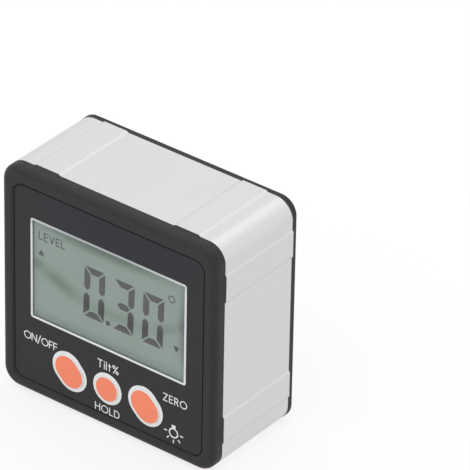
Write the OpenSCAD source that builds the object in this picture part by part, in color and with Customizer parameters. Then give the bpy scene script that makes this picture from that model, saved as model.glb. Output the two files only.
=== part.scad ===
// Digital angle gauge: an extruded aluminium frame with raised contact strips on all four
// sides, closed by a moulded front cover with the display and three keys, and by a moulded
// rear cover that carries two cells behind a hinged door. Magnets sit flush in the base.
// Lengths are millimetres. The gauge stands on the two strips of its base at z = 0 and
// faces -Y, and the origin is the middle of its footprint.

/* [Frame] */
// Width of the frame across its side flats
frame_w = 54; // [53.5:0.5:60]
// Height of the frame across its top and bottom flats
frame_h = 52; // [51.5:0.5:58]
// Length of the extrusion, from front cover to rear cover
frame_len = 21.2; // [20.5:0.1:26]
// Radius of the frame's outer corners
corner_r = 4; // [3.5:0.1:5]
// Wall of the frame at its top and sides
side_wall = 1.8; // [1.4:0.1:2]
// Wall of the frame at its base, which holds the magnets
base_wall = 3; // [2.6:0.1:3.4]
// Width of a raised contact strip across its top
strip_w = 5.6; // [5.5:0.1:6.6]
// Run of a contact strip's sloping side
strip_run = 0.5; // [0.3:0.1:0.8]
// Height of a contact strip above its flat
strip_h = 0.3; // [0.2:0.05:0.4]
// Distance from a flat's end to the middle of its strip
strip_inset = 9.5; // [9:0.1:11]

/* [Magnets] */
// Diameter of a base magnet
magnet_d = 5; // [4:0.1:5.2]
// Thickness of a base magnet
magnet_t = 2; // [1.5:0.1:2.2]
// Distance between the two magnets of one strip
magnet_pitch = 12; // [8:0.5:14]
// Depth of a magnet's face below its strip
magnet_sink = 0.05; // [0.05:0.05:0.2]
// Glue gap round a magnet
magnet_clear = 0.05; // [0.03:0.01:0.1]

/* [Covers] */
// Depth of the front cover's side wall, in front of the frame
front_depth = 3; // [2.6:0.1:3.6]
// Rounding of the front cover's outer edge
front_edge_r = 1.5; // [0.8:0.1:2]
// Drop of the ramps on the front cover below the frame's strips
cover_drop = 0.1; // [0.05:0.05:0.15]
// Wall of the front cover behind the panel
front_wall = 1.5; // [1.2:0.1:1.8]
// Thickness of the rear cover's flange, behind the frame
rear_flange = 1.6; // [1.1:0.1:1.8]
// Rounding of the rear cover's outer edge
rear_edge_r = 0.5; // [0.3:0.1:0.8]
// Radius of the rear cover's corners, a little sharper than the frame's
rear_corner_r = 3.8; // [3:0.1:5]
// Full wall of the rear cover, flange and plug together
rear_wall = 2.4; // [2.2:0.1:3]
// Gap between a cover's plug and the inside of the frame
plug_clear = 0.1; // [0.05:0.01:0.15]
// Wall of the ring by which a cover plugs into the frame
plug_wall = 1.2; // [1:0.1:1.4]
// Radius of the rings' inner corners
cavity_r = 0.9; // [0.5:0.1:1.5]
// Length of the front cover's plug
front_plug = 4; // [3:0.1:4.2]
// Length of the rear cover's ring, in front of its wall
rear_plug = 1.9; // [1.5:0.1:3]

/* [Panel] */
// Width of the front cover's rim at the left and right of the panel
rim_side = 3; // [2.9:0.05:3.6]
// Width of the rim above the panel
rim_top = 3.6; // [3.5:0.05:4.5]
// Width of the rim below the panel
rim_bottom = 2.7; // [2.4:0.05:3.2]
// Radius of the panel pocket's corners
panel_r = 2.4; // [1.5:0.1:3]
// Thickness of the panel
panel_t = 0.5; // [0.4:0.05:0.8]
// Depth of the panel's face below the rim
panel_recess = 0.35; // [0.2:0.05:0.5]
// Gap round the panel in its pocket
panel_gap = 0.2; // [0.1:0.05:0.3]
// Width of the slope from the rim down to the panel
rim_slope = 0.4; // [0.3:0.05:0.5]

/* [Display] */
// Width of the panel at the left and right of the display's clear lens
lens_side = 4.3; // [3.8:0.05:6]
// Height of the panel above the lens
lens_top = 6.75; // [6:0.05:8]
// Height of the panel below the lens, where the keys are
lens_low = 15.55; // [15:0.05:17]
// Radius of the lens's corners
lens_r = 0.6; // [0.3:0.1:1]
// Glue gap round the lens
lens_clear = 0.05; // [0.03:0.01:0.1]
// Reach of the display glass past the lens, under the panel
glass_reach = 0.7; // [0.5:0.1:0.9]
// Thickness of each of the cell's two glasses
glass_t = 0.9; // [0.7:0.05:1.1]
// Height of the contact ledge at the front glass's lower edge
glass_ledge = 2.2; // [2:0.1:2.4]
// Gap round the display glass in the front cover's opening
glass_clear = 0.15; // [0.1:0.05:0.2]
// Thickness of the fence round the opening
fence_t = 0.8; // [0.6:0.1:1]
// Height of the fence behind the wall
fence_h = 1.5; // [1:0.1:1.8]
// Thickness of the light guide behind the display
guide_t = 4; // [3.8:0.1:4.4]
// Inset of the light guide from the rear glass's edges
guide_inset = 0.2; // [0.1:0.05:0.3]
// Width of a backlight lamp, along the guide's edge
led_w = 3; // [2:0.1:4]
// Height of a backlight lamp above the board
led_h = 2; // [1.6:0.1:2.2]
// Thickness of a backlight lamp
led_t = 1; // [0.8:0.1:1.2]
// Distance between the two backlight lamps
led_pitch = 8; // [6:0.5:12]
// Gap between a lamp and the light guide
led_gap = 0.1; // [0.05:0.05:0.2]
// Inset of the elastic connector's ends from the glass's sides
connector_inset = 2; // [1:0.1:4]
// Width of the elastic connector
connector_w = 1.6; // [1.2:0.1:1.7]

/* [Keys] */
// Distance between neighbouring keys
key_pitch = 9.7; // [9.5:0.1:10.5]
// Height of the keys' middles above the frame's bottom flat
key_rise = 9.2; // [8.7:0.05:9.3]
// Diameter of the round key
key_d = 5.7; // [4.5:0.1:5.8]
// Width of the two long keys
long_key_w = 6.2; // [4.5:0.1:6.4]
// Distance between the end centres of a long key
key_stretch = 1.5; // [1.3:0.1:2]
// Slope of the long keys, from upper left to lower right
key_slope = 45; // [30:1:60]
// Height of a key above the panel
key_proud = 0.3; // [0.2:0.05:0.3]
// Rounding of a key's top edge
key_edge_r = 0.15; // [0.1:0.05:0.3]
// Travel of a key
key_travel = 0.25; // [0.15:0.01:0.3]
// Radial gap between a key and its hole
key_clear = 0.08; // [0.05:0.01:0.1]
// Gap between a released key's flange and the wall
key_rest_gap = 0.05; // [0.03:0.01:0.1]
// Overhang of the flange that keeps a key in
flange_lap = 0.7; // [0.5:0.1:0.8]
// Thickness of a key's flange
flange_t = 0.8; // [0.6:0.1:1]
// Diameter of the stem behind a key
stem_d = 3; // [2.5:0.1:3.5]

/* [Switches] */
// Width of a switch body
switch_w = 4.5; // [4:0.1:6]
// Height of a switch body above the board
switch_h = 2; // [1.6:0.1:2.2]
// Diameter of a switch plunger
plunger_d = 2.4; // [2:0.1:3]
// Height of a released plunger above its switch body
plunger_proud = 0.7; // [0.5:0.05:0.8]
// Length of a plunger inside its switch body
plunger_sunk = 0.6; // [0.4:0.05:0.7]
// Radial gap between a plunger and its switch body
plunger_clear = 0.08; // [0.05:0.01:0.1]
// Room left under a pressed plunger
plunger_room = 0.15; // [0.1:0.05:0.25]

/* [Circuit board] */
// Thickness of the circuit board
board_t = 1.2; // [0.8:0.1:1.6]
// Gap between the board and the front cover's plug
board_gap = 0.5; // [0.4:0.1:0.8]
// Gap between the board and the case screws' bosses
notch_gap = 0.4; // [0.3:0.1:0.6]
// Diameter of a board standoff
standoff_d = 4; // [3.6:0.1:4.2]
// Distance of the board screws from the front cover's inner faces
standoff_inset = 3.2; // [3:0.1:3.4]
// Height of the two lower board screws above the frame's bottom flat
standoff_rise = 12.1; // [12:0.1:12.3]
// Diameter of a board screw's shank
board_screw_d = 1.8; // [1.6:0.1:2]
// Length of a board screw under its head
board_screw_len = 4.6; // [3:0.1:5]
// Diameter of a board screw's head
board_head_d = 3.4; // [3:0.1:3.8]
// Height of a board screw's head
board_head_h = 1.2; // [1:0.1:1.4]
// Width of the controller chip
chip_w = 10; // [6:0.5:12]
// Height of the controller chip above the board
chip_h = 1.4; // [0.8:0.1:1.6]
// Distance of the chip's middle from the gauge's middle
chip_x = 9; // [7:0.5:14]
// Width of the tilt sensor
sensor_w = 5; // [3:0.5:6]
// Height of the tilt sensor above the board
sensor_h = 1.1; // [0.8:0.1:1.5]
// Distance of the sensor's middle from the gauge's middle
sensor_x = 9; // [5:0.5:16]
// Length of the clock crystal
crystal_len = 7; // [5:0.5:8]
// Diameter of the clock crystal
crystal_d = 2; // [1.5:0.1:2.5]
// Drop of the crystal below the board's middle
crystal_drop = 11; // [9:0.5:14]

/* [Cells] */
// Diameter of a cell
cell_d = 10.5; // [10:0.1:10.6]
// Diameter of a cell's button
button_d = 3.8; // [3:0.1:5]
// Height of a cell's button
button_h = 1; // [0.8:0.1:1.5]
// Rounding of a cell's ends
cell_edge_r = 0.6; // [0.3:0.1:1]
// Gap between the two cells
cell_gap = 0.6; // [0.5:0.1:1]
// Gap between a cell and the trough it lies in
cell_clear = 0.2; // [0.1:0.05:0.25]
// Wall of the battery trough
trough_wall = 1; // [0.8:0.1:1.2]
// Wall at each end of the battery bay, inside the frame
bay_wall = 1.1; // [0.9:0.1:1.3]
// Gap between the cells and the door
door_room = 0.3; // [0.2:0.05:0.5]

/* [Contacts] */
// Thickness of the contact plates
contact_t = 0.3; // [0.2:0.05:0.4]
// Width of a contact plate
contact_w = 7; // [6:0.1:7.4]
// Width of a contact's tail
tail_w = 3; // [2:0.1:4]
// Length of the tail's foot on the board
foot_len = 3; // [2.5:0.1:4]
// Gap round a tail in its slot
tail_clear = 0.2; // [0.1:0.05:0.3]
// Length of a loaded contact spring
spring_len = 2.9; // [2.6:0.1:3]
// Diameter of the spring's wire
spring_wire = 0.6; // [0.4:0.05:0.7]
// Diameter of the spring at its plate, over the wire
spring_foot_d = 6; // [5:0.1:6.5]
// Diameter of the spring at its cell, over the wire
spring_tip_d = 4.4; // [3.5:0.1:5]
// Turns of a contact spring
spring_turns = 2.5; // [2:0.25:2.75]

/* [Battery door] */
// Thickness of the battery door
door_t = 1.8; // [1.6:0.1:2]
// Gap round the door in its opening
door_gap = 0.25; // [0.2:0.05:0.3]
// Diameter of the door's hinge pins
pin_d = 1; // [0.8:0.1:1.1]
// Reach of a hinge pin past the door's side
pin_len = 0.85; // [0.7:0.05:0.9]
// Radial gap between a hinge pin and its hole
pin_clear = 0.06; // [0.04:0.01:0.1]
// Depth of a hinge pin's hole
pin_hole = 0.8; // [0.7:0.05:0.85]
// Width of the ledge that stops the door
ledge_w = 16; // [8:1:24]
// Reach of the ledge into the opening
ledge_reach = 0.6; // [0.4:0.1:0.6]
// Gap between the ledge and the closed door
ledge_gap = 0.1; // [0.05:0.05:0.2]
// Radius of the thumb notch above the door
thumb_r = 5; // [4:0.5:7]
// Depth of the thumb notch into the rear face
thumb_depth = 1; // [0.6:0.1:1.2]

/* [Case screws] */
// Distance of the case screws from the frame's inner faces
boss_inset = 3.6; // [3.4:0.1:3.8]
// Diameter of the bosses and posts
boss_d = 5; // [4.6:0.1:5.4]
// Length of the rear cover's posts, in front of its wall
post_len = 5.2; // [4:0.1:7]
// Diameter of a case screw's shank
screw_d = 2.2; // [2:0.1:2.4]
// Length of a case screw under its head
screw_len = 12; // [10:0.5:16]
// Diameter of a case screw's head
head_d = 4; // [3.6:0.1:4.4]
// Height of a case screw's head
head_h = 1.4; // [1.2:0.1:1.6]
// Depth of the seat that sinks a case screw's head
seat_depth = 2; // [1.8:0.1:2.2]
// Radial gap between a screw's head and its seat, and its shank and its hole
screw_clear = 0.2; // [0.15:0.05:0.3]
// Radial gap between a screw's thread and its pilot hole
thread_clear = 0.02; // [0.01:0.01:0.04]
// Width of the cross recess in a screw's head
cross_w = 0.7; // [0.5:0.1:0.9]
// Distance from the cross recess's ends to the head's edge
cross_margin = 0.8; // [0.6:0.1:1]
// Depth of the cross recess in a screw's head
cross_depth = 0.7; // [0.5:0.1:0.9]
// Depth of a pilot hole past its screw's tip
pilot_room = 0.5; // [0.3:0.1:0.8]

/* [Hidden] */
$fn = 48;
// Small overlap by which a cut runs past the face it opens
over = 1;

// Levels along the depth, from the front face to the back face
depth = front_depth + frame_len + rear_flange;
y_front = -depth / 2;
y_frame0 = y_front + front_depth;
y_frame1 = y_frame0 + frame_len;
y_back = depth / 2;
y_panel = y_front + panel_recess;
y_pocket = y_panel + panel_t;
y_wall = y_pocket + front_wall;
y_board0 = y_pocket + 2 * glass_t + guide_t;
y_board1 = y_board0 + board_t;
y_rear_in = y_back - rear_wall;
y_post = y_rear_in - post_len;
y_seat = y_back - seat_depth;
y_door = y_back - door_t;
y_cell = y_door - door_room - cell_d / 2;
y_hinge = y_back - door_t / 2;

// Levels along the height, from the base strips up
z_flat = strip_h;
z_mid = z_flat + frame_h / 2;
inner_w = frame_w - 2 * side_wall;
inner_h = frame_h - side_wall - base_wall;
inner_mid = z_flat + base_wall + inner_h / 2;
inner_r = corner_r - side_wall;
plug_w = inner_w - 2 * plug_clear;
plug_h = inner_h - 2 * plug_clear;
plug_r = inner_r - plug_clear;
cavity_w = plug_w - 2 * plug_wall;
cavity_h = plug_h - 2 * plug_wall;
board_w = cavity_w - 2 * board_gap;
board_h = cavity_h - 2 * board_gap;

// Panel, lens and display
pocket_w = frame_w - 2 * rim_side;
pocket_h = frame_h - rim_top - rim_bottom;
pocket_mid = z_flat + rim_bottom + pocket_h / 2;
lens_w = pocket_w - 2 * lens_side;
lens_h = pocket_h - lens_top - lens_low;
lens_mid = z_flat + rim_bottom + lens_low + lens_h / 2;
glass_w = lens_w + 2 * glass_reach;
glass_h = lens_h + 2 * glass_reach;
ledge_z = lens_mid - glass_h / 2 - glass_ledge;
opening_w = glass_w + 2 * glass_clear;
opening_h = glass_h + glass_ledge + 2 * glass_clear;
opening_mid = lens_mid - glass_ledge / 2;

// Keys, from left to right
key_z = z_flat + key_rise;
y_flange = y_wall + key_rest_gap;
y_stem = y_flange + flange_t;
y_plunger = y_board0 - switch_h - plunger_proud;

// Cells and the bay they lie in: the cells fill the bay's width between the contacts
cell_pitch = cell_d + cell_gap;
trough_r = cell_d / 2 + cell_clear;
bay_half_w = plug_w / 2 - bay_wall;
cell_len = 2 * (bay_half_w - contact_t) - spring_len;
bay_half_h = cell_pitch / 2 + trough_r;
z_upper = z_mid + cell_pitch / 2;
z_lower = z_mid - cell_pitch / 2;
z_hinge = z_mid - bay_half_h + door_gap + door_t / 2;

// Screw places: bosses at the four corners, standoffs at two sides and the top
boss_places = [
    for (sx = [-1, 1], sz = [-1, 1])
        [sx * (inner_w / 2 - boss_inset), inner_mid + sz * (inner_h / 2 - boss_inset)]
];
standoff_places = [
    [-(cavity_w / 2 - standoff_inset), z_flat + standoff_rise],
    [cavity_w / 2 - standoff_inset, z_flat + standoff_rise],
    [0, inner_mid + cavity_h / 2 - standoff_inset]
];

// Extrudes a profile drawn in x and z along the depth
module along_y(y0, y1) {
    translate([0, y1, 0])
        rotate([90, 0, 0])
            linear_extrude(y1 - y0)
                children();
}

// Extrudes a profile drawn in y and z along the width
module along_x(x0, x1) {
    translate([x0, 0, 0])
        rotate([90, 0, 90])
            linear_extrude(x1 - x0)
                children();
}

// Round bar along the depth at a place in x and z
module bar(place, y0, y1, d) {
    along_y(y0, y1)
        translate(place)
            circle(d = d);
}

// Rectangle with rounded corners, about its middle
module rounded_rect(w, h, r) {
    square([w - 2 * r, h], center = true);
    square([w, h - 2 * r], center = true);
    for (sx = [-1, 1], sy = [-1, 1])
        translate([sx * (w / 2 - r), sy * (h / 2 - r)])
            circle(r);
}

// Half of a slab's section, with its outer upper edge rounded
module edge_profile(half, rise, edge_r) {
    square([half - edge_r, rise]);
    square([half, rise - edge_r]);
    translate([half - edge_r, rise - edge_r])
        circle(edge_r);
}

// Band across a slab, with both its edges rounded
module band(half, span, rise, edge_r) {
    translate([0, span / 2, 0])
        rotate([90, 0, 0])
            linear_extrude(span) {
                edge_profile(half, rise, edge_r);
                mirror([1, 0])
                    edge_profile(half, rise, edge_r);
            }
}

// Turns a quarter of a section round each corner of a slab
module at_corners(w, h, r) {
    for (turn = [0:3])
        translate([(turn == 0 || turn == 3 ? 1 : -1) * (w / 2 - r), (turn < 2 ? 1 : -1) * (h / 2 - r), 0])
            rotate([0, 0, 90 * turn])
                rotate_extrude(angle = 90)
                    children();
}

// Slab with rounded corners and a rounded upper edge
module rounded_slab(w, h, rise, r, edge_r) {
    band(w / 2, h - 2 * r, rise, edge_r);
    rotate([0, 0, 90])
        band(h / 2, w - 2 * r, rise, edge_r);
    at_corners(w, h, r)
        edge_profile(r, rise, edge_r);
}

// Half of a section that widens upward
module flare_profile(half, rise, flare) {
    polygon([[0, 0], [half, 0], [half + flare, rise], [0, rise]]);
}

// Band that widens upward at both its edges
module flare_band(half, span, rise, flare) {
    translate([0, span / 2, 0])
        rotate([90, 0, 0])
            linear_extrude(span) {
                flare_profile(half, rise, flare);
                mirror([1, 0])
                    flare_profile(half, rise, flare);
            }
}

// Slab with rounded corners that widens upward
module flared_slab(w, h, rise, r, flare) {
    flare_band(w / 2, h - 2 * r, rise, flare);
    rotate([0, 0, 90])
        flare_band(h / 2, w - 2 * r, rise, flare);
    at_corners(w, h, r)
        flare_profile(r, rise, flare);
}

// Places its children at the eight strips on the four flats: x runs across a strip, z up from its flat
module at_strips() {
    translate([0, 0, z_mid])
        for (turn = [0:3], side = [-1, 1]) {
            along = turn % 2 == 0 ? frame_w : frame_h;
            across = turn % 2 == 0 ? frame_h : frame_w;
            rotate([0, 90 * turn, 0])
                translate([side * (along / 2 - strip_inset), 0, across / 2])
                    children();
        }
}

// Section of a strip with its sides sloped, rooted below its flat
module strip_section() {
    top = strip_w / 2;
    foot = top + strip_run;
    polygon([[-foot, -over], [foot, -over], [foot, 0], [top, strip_h], [-top, strip_h], [-foot, 0]]);
}

// Ramp that carries a strip on over the front cover and runs out at its rounding
module strip_ramp() {
    tip = y_front + front_edge_r;
    intersection() {
        along_y(tip, y_frame0)
            strip_section();
        along_x(-strip_w, strip_w)
            polygon([[tip, -over], [y_frame0, -over], [y_frame0, strip_h - cover_drop], [tip, 0]]);
    }
}

// Outlines inside the frame, in x and z
module inner_outline() {
    translate([0, inner_mid])
        rounded_rect(inner_w, inner_h, inner_r);
}

module plug_outline() {
    translate([0, inner_mid])
        rounded_rect(plug_w, plug_h, plug_r);
}

module cavity_outline() {
    translate([0, inner_mid])
        rounded_rect(cavity_w, cavity_h, cavity_r);
}

// Places its children at the four base magnets, facing down
module at_magnets() {
    for (side = [-1, 1], row = [-1, 1])
        translate([
            side * (frame_w / 2 - strip_inset),
            (y_frame0 + y_frame1) / 2 + row * magnet_pitch / 2,
            0
        ])
            children();
}

// Extruded frame with raised strips, its base drilled for the magnets
module frame() {
    color("#d9dadb")
        difference() {
            union() {
                along_y(y_frame0, y_frame1)
                    translate([0, z_mid])
                        rounded_rect(frame_w, frame_h, corner_r);
                at_strips()
                    along_y(y_frame0, y_frame1)
                        strip_section();
            }
            along_y(y_frame0 - over, y_frame1 + over)
                inner_outline();
            at_magnets()
                translate([0, 0, -over])
                    cylinder(h = over + magnet_sink + magnet_t, d = magnet_d + 2 * magnet_clear);
        }
}

module base_magnets() {
    color("#b9bcc0")
        at_magnets()
            translate([0, 0, magnet_sink])
                cylinder(h = magnet_t, d = magnet_d);
}

// Outer form of the front cover: a rounded slab with a ramp behind its rounding at each strip
module front_form() {
    translate([0, y_frame0, z_mid])
        rotate([90, 0, 0])
            rounded_slab(frame_w, frame_h, front_depth, corner_r, front_edge_r);
    at_strips()
        strip_ramp();
}

// Room for the panel: a straight pocket whose mouth widens to the rim's front face
module panel_room() {
    mouth = panel_recess + over;
    along_y(y_front - over, y_pocket)
        translate([0, pocket_mid])
            rounded_rect(pocket_w, pocket_h, panel_r);
    translate([0, y_panel, pocket_mid])
        rotate([90, 0, 0])
            flared_slab(pocket_w, pocket_h, mouth, panel_r, rim_slope * mouth / panel_recess);
}

// Outline of a key, in x and z about its middle
module key_outline(stretch, d) {
    rotate(-key_slope) {
        for (end = [-1, 1])
            translate([end * stretch / 2, 0])
                circle(d = d);
        if (stretch > 0)
            square([stretch, d], center = true);
    }
}

// Keys: place along the row, distance between the end centres, and width
function key_x(index) = (index - 1) * key_pitch;
function key_long(index) = index == 1 ? 0 : key_stretch;
function key_w(index) = index == 1 ? key_d : long_key_w;

// Fence round the display's opening, behind the front wall
module glass_fence() {
    along_y(y_wall, y_wall + fence_h)
        translate([0, opening_mid])
            square([opening_w + 2 * fence_t, opening_h + 2 * fence_t], center = true);
}

// Moulded front cover: rounded rim, panel pocket, plug, bosses, standoffs and fence
module front_cover() {
    screw_tip = y_seat - screw_len - pilot_room;
    standoff_tip = y_board1 - board_screw_len - pilot_room;
    color("#3a3a3c")
        difference() {
            union() {
                difference() {
                    union() {
                        front_form();
                        along_y(y_frame0, y_frame0 + front_plug)
                            plug_outline();
                    }
                    along_y(y_wall, y_frame0 + front_plug + over)
                        cavity_outline();
                }
                for (place = boss_places)
                    bar(place, y_wall, y_post, boss_d);
                for (place = standoff_places)
                    bar(place, y_wall, y_board0, standoff_d);
                glass_fence();
            }
            panel_room();
            along_y(y_front - over, y_wall + fence_h + over)
                translate([0, opening_mid])
                    square([opening_w, opening_h], center = true);
            for (index = [0:2])
                along_y(y_front - over, y_wall + over)
                    translate([key_x(index), key_z])
                        key_outline(key_long(index), key_w(index) + 2 * key_clear);
            for (place = boss_places)
                bar(place, screw_tip, y_post + over, screw_d + 2 * thread_clear);
            for (place = standoff_places)
                bar(place, standoff_tip, y_board0 + over, board_screw_d + 2 * thread_clear);
        }
}

// Printed panel with the lens opening and the key holes
module front_panel() {
    color("#38393d")
        along_y(y_panel, y_pocket)
            difference() {
                translate([0, pocket_mid])
                    rounded_rect(pocket_w - 2 * panel_gap, pocket_h - 2 * panel_gap, panel_r - panel_gap);
                translate([0, lens_mid])
                    rounded_rect(lens_w + 2 * lens_clear, lens_h + 2 * lens_clear, lens_r + lens_clear);
                for (index = [0:2])
                    translate([key_x(index), key_z])
                        key_outline(key_long(index), key_w(index) + 2 * key_clear);
            }
}

module display_lens() {
    color("#c9d4cf", 0.5)
        along_y(y_panel, y_pocket)
            translate([0, lens_mid])
                rounded_rect(lens_w, lens_h, lens_r);
}

// Key: a cap with a rounded edge, a flange that keeps it in and a stem on the switch
module key(index) {
    stretch = key_long(index);
    cap = y_flange - y_panel + key_proud;
    color("#f0875f") {
        translate([key_x(index), y_flange, key_z])
            rotate([90, key_slope, 0]) {
                if (stretch > 0)
                    rotate([0, 0, 90])
                        band(key_w(index) / 2, stretch, cap, key_edge_r);
                for (end = [0, 1])
                    rotate([0, 0, 180 * end])
                        translate([stretch / 2, 0, 0])
                            rotate([0, 0, -90])
                                rotate_extrude(angle = 180)
                                    edge_profile(key_w(index) / 2, cap, key_edge_r);
            }
        along_y(y_flange, y_stem)
            translate([key_x(index), key_z])
                key_outline(stretch, key_w(index) + 2 * (key_clear + flange_lap));
        bar([key_x(index), key_z], y_stem, y_plunger, stem_d);
    }
}

module on_off_button() { key(0); }
module hold_button() { key(1); }
module zero_button() { key(2); }

// Plunger that a key presses into its switch
module plunger(index) {
    color("#5a3a2c")
        bar([key_x(index), key_z], y_plunger, y_plunger + plunger_proud + plunger_sunk, plunger_d);
}

module on_off_plunger() { plunger(0); }
module hold_plunger() { plunger(1); }
module zero_plunger() { plunger(2); }

// Push switch on the board, hollow for its plunger's travel
module switch_body(index) {
    y_top = y_board0 - switch_h;
    color("#2a2a2a")
        difference() {
            along_y(y_top, y_board0)
                translate([key_x(index), key_z])
                    square(switch_w, center = true);
            bar(
                [key_x(index), key_z], y_top - over, y_top + plunger_sunk + key_travel + plunger_room,
                plunger_d + 2 * plunger_clear
            );
        }
}

module on_off_switch() { switch_body(0); }
module hold_switch() { switch_body(1); }
module zero_switch() { switch_body(2); }

// Display cell: two glasses, the front one longer by the contact ledge
module lcd_cell() {
    color("#93a598") {
        along_y(y_pocket, y_pocket + glass_t)
            translate([-glass_w / 2, ledge_z])
                square([glass_w, glass_h + glass_ledge]);
        along_y(y_pocket + glass_t, y_pocket + 2 * glass_t)
            translate([0, lens_mid])
                square([glass_w, glass_h], center = true);
    }
}

module light_guide() {
    color("#e9efe9")
        along_y(y_pocket + 2 * glass_t, y_board0)
            translate([0, lens_mid])
                square([glass_w - 2 * guide_inset, glass_h - 2 * guide_inset], center = true);
}

module backlight_lamps() {
    edge_x = -glass_w / 2 + guide_inset - led_gap;
    color("#f4f1d8")
        for (side = [-1, 1])
            along_y(y_board0 - led_h, y_board0)
                translate([edge_x - led_t, lens_mid + side * led_pitch / 2 - led_w / 2])
                    square([led_t, led_w]);
}

// Elastic strip that joins the glass's ledge to the board
module elastic_connector() {
    color("#d98c8c")
        along_y(y_pocket + glass_t, y_board0)
            translate([0, ledge_z + glass_ledge / 2])
                square([glass_w - 2 * connector_inset, connector_w], center = true);
}

// Board with round notches at the case screws' bosses and holes for its own screws
module circuit_board() {
    color("#2f6b3a")
        along_y(y_board0, y_board1)
            difference() {
                translate([0, inner_mid])
                    square([board_w, board_h], center = true);
                for (place = boss_places)
                    translate(place)
                        circle(d = boss_d + 2 * notch_gap);
                for (place = standoff_places)
                    translate(place)
                        circle(d = board_screw_d + 2 * screw_clear);
            }
}

// Parts soldered to the back of the board
module controller_chip() {
    color("#1f1f21")
        along_y(y_board1, y_board1 + chip_h)
            translate([chip_x, inner_mid])
                square(chip_w, center = true);
}

module tilt_sensor() {
    color("#44474c")
        along_y(y_board1, y_board1 + sensor_h)
            translate([-sensor_x, inner_mid])
                square(sensor_w, center = true);
}

module clock_crystal() {
    color("#c4c6c8")
        translate([-crystal_len / 2, y_board1 + crystal_d / 2, inner_mid - crystal_drop])
            rotate([0, 90, 0])
                cylinder(h = crystal_len, d = crystal_d);
}

// Screw along the depth with a cross recess, its head seated at y
module screw(place, y, shank_d, shank_len, cap_d, cap_h) {
    difference() {
        union() {
            bar(place, y - shank_len, y, shank_d);
            bar(place, y, y + cap_h, cap_d);
        }
        along_y(y + cap_h - cross_depth, y + cap_h + over)
            translate(place) {
                square([cross_w, cap_d - 2 * cross_margin], center = true);
                square([cap_d - 2 * cross_margin, cross_w], center = true);
            }
    }
}

module board_screws() {
    color("#b8b9ba")
        for (place = standoff_places)
            screw(place, y_board1, board_screw_d, board_screw_len, board_head_d, board_head_h);
}

module case_screws() {
    color("#a9abad")
        for (place = boss_places)
            screw(place, y_seat, screw_d, screw_len, head_d, head_h);
}

// Section of the battery trough in y and z: two round bottoms, open to the rear
module trough_section(r, y_end) {
    for (z = [z_lower, z_upper])
        translate([y_cell, z])
            circle(r);
    translate([y_cell, z_lower - r])
        square([y_end - y_cell, cell_pitch + 2 * r]);
}

// Moulded rear cover: flange, plug, battery trough, hinge holes, posts and thumb notch
module rear_cover() {
    color("#343436")
        difference() {
            union() {
                translate([0, y_frame1, z_mid])
                    rotate([-90, 0, 0])
                        rounded_slab(frame_w, frame_h, rear_flange, rear_corner_r, rear_edge_r);
                along_y(y_rear_in, y_frame1)
                    plug_outline();
                along_y(y_rear_in - rear_plug, y_rear_in)
                    difference() {
                        plug_outline();
                        cavity_outline();
                    }
                for (place = boss_places)
                    bar(place, y_post, y_rear_in, boss_d);
                along_x(-plug_w / 2, plug_w / 2)
                    trough_section(trough_r + trough_wall, y_rear_in);
            }
            difference() {
                along_x(-bay_half_w, bay_half_w)
                    trough_section(trough_r, y_back + over);
                along_x(-ledge_w / 2, ledge_w / 2)
                    translate([y_rear_in - trough_wall, z_mid + bay_half_h - ledge_reach])
                        square([y_door - ledge_gap - y_rear_in + trough_wall, ledge_reach + over]);
            }
            along_x(-bay_half_w - pin_hole, bay_half_w + pin_hole)
                translate([y_hinge, z_hinge])
                    circle(d = pin_d + 2 * pin_clear);
            for (z = [z_lower, z_upper])
                along_x(bay_half_w - contact_t - tail_clear, bay_half_w)
                    translate([y_cell - trough_r - trough_wall - over, z - tail_w / 2 - tail_clear])
                        square([trough_r + trough_wall + over, tail_w + 2 * tail_clear]);
            along_y(y_back - thumb_depth, y_back + over)
                translate([0, z_mid + bay_half_h])
                    circle(thumb_r);
            for (place = boss_places) {
                bar(place, y_post - over, y_back + over, screw_d + 2 * screw_clear);
                bar(place, y_seat, y_back + over, head_d + 2 * screw_clear);
            }
        }
}

// Door with a round lower edge that turns on a pin at each end
module battery_door() {
    half = bay_half_w - door_gap;
    z_top = z_mid + bay_half_h - door_gap;
    color("#343436") {
        along_x(-half, half) {
            translate([y_hinge, z_hinge])
                circle(d = door_t);
            translate([y_door, z_hinge])
                square([door_t, z_top - z_hinge]);
        }
        along_x(-half - pin_len, half + pin_len)
            translate([y_hinge, z_hinge])
                circle(d = pin_d);
    }
}

// Cell with its negative end at x = 0 and its button at the far end
module cell() {
    can_len = cell_len - button_h;
    rotate([0, 90, 0])
        rotate_extrude() {
            translate([0, cell_edge_r])
                square([cell_d / 2, can_len - 2 * cell_edge_r]);
            square([cell_d / 2 - cell_edge_r, can_len]);
            for (end = [cell_edge_r, can_len - cell_edge_r])
                translate([cell_d / 2 - cell_edge_r, end])
                    circle(cell_edge_r);
            square([button_d / 2, cell_len]);
        }
}

module upper_cell() {
    color("#6d7378")
        translate([-bay_half_w + contact_t + spring_len, y_cell, z_upper])
            cell();
}

module lower_cell() {
    color("#6d7378")
        translate([bay_half_w - contact_t - spring_len, y_cell, z_lower])
            mirror([1, 0, 0])
                cell();
}

// Flat contact plate on the inner side of a bay's end, in y and z about a cell's axis
module contact_plate(z) {
    translate([y_cell, z])
        square(contact_w, center = true);
}

// Contact with a tail that runs through the trough and ends in a foot on the board
module tailed_contact(z) {
    color("#c8c2a8") {
        along_x(bay_half_w - contact_t, bay_half_w) {
            contact_plate(z);
            translate([y_board1, z - tail_w / 2])
                square([y_cell - y_board1, tail_w]);
        }
        along_x(bay_half_w - foot_len, bay_half_w)
            translate([y_board1, z - tail_w / 2])
                square([contact_t, tail_w]);
    }
}

module positive_contact() { tailed_contact(z_upper); }
module negative_contact() { tailed_contact(z_lower); }

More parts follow.
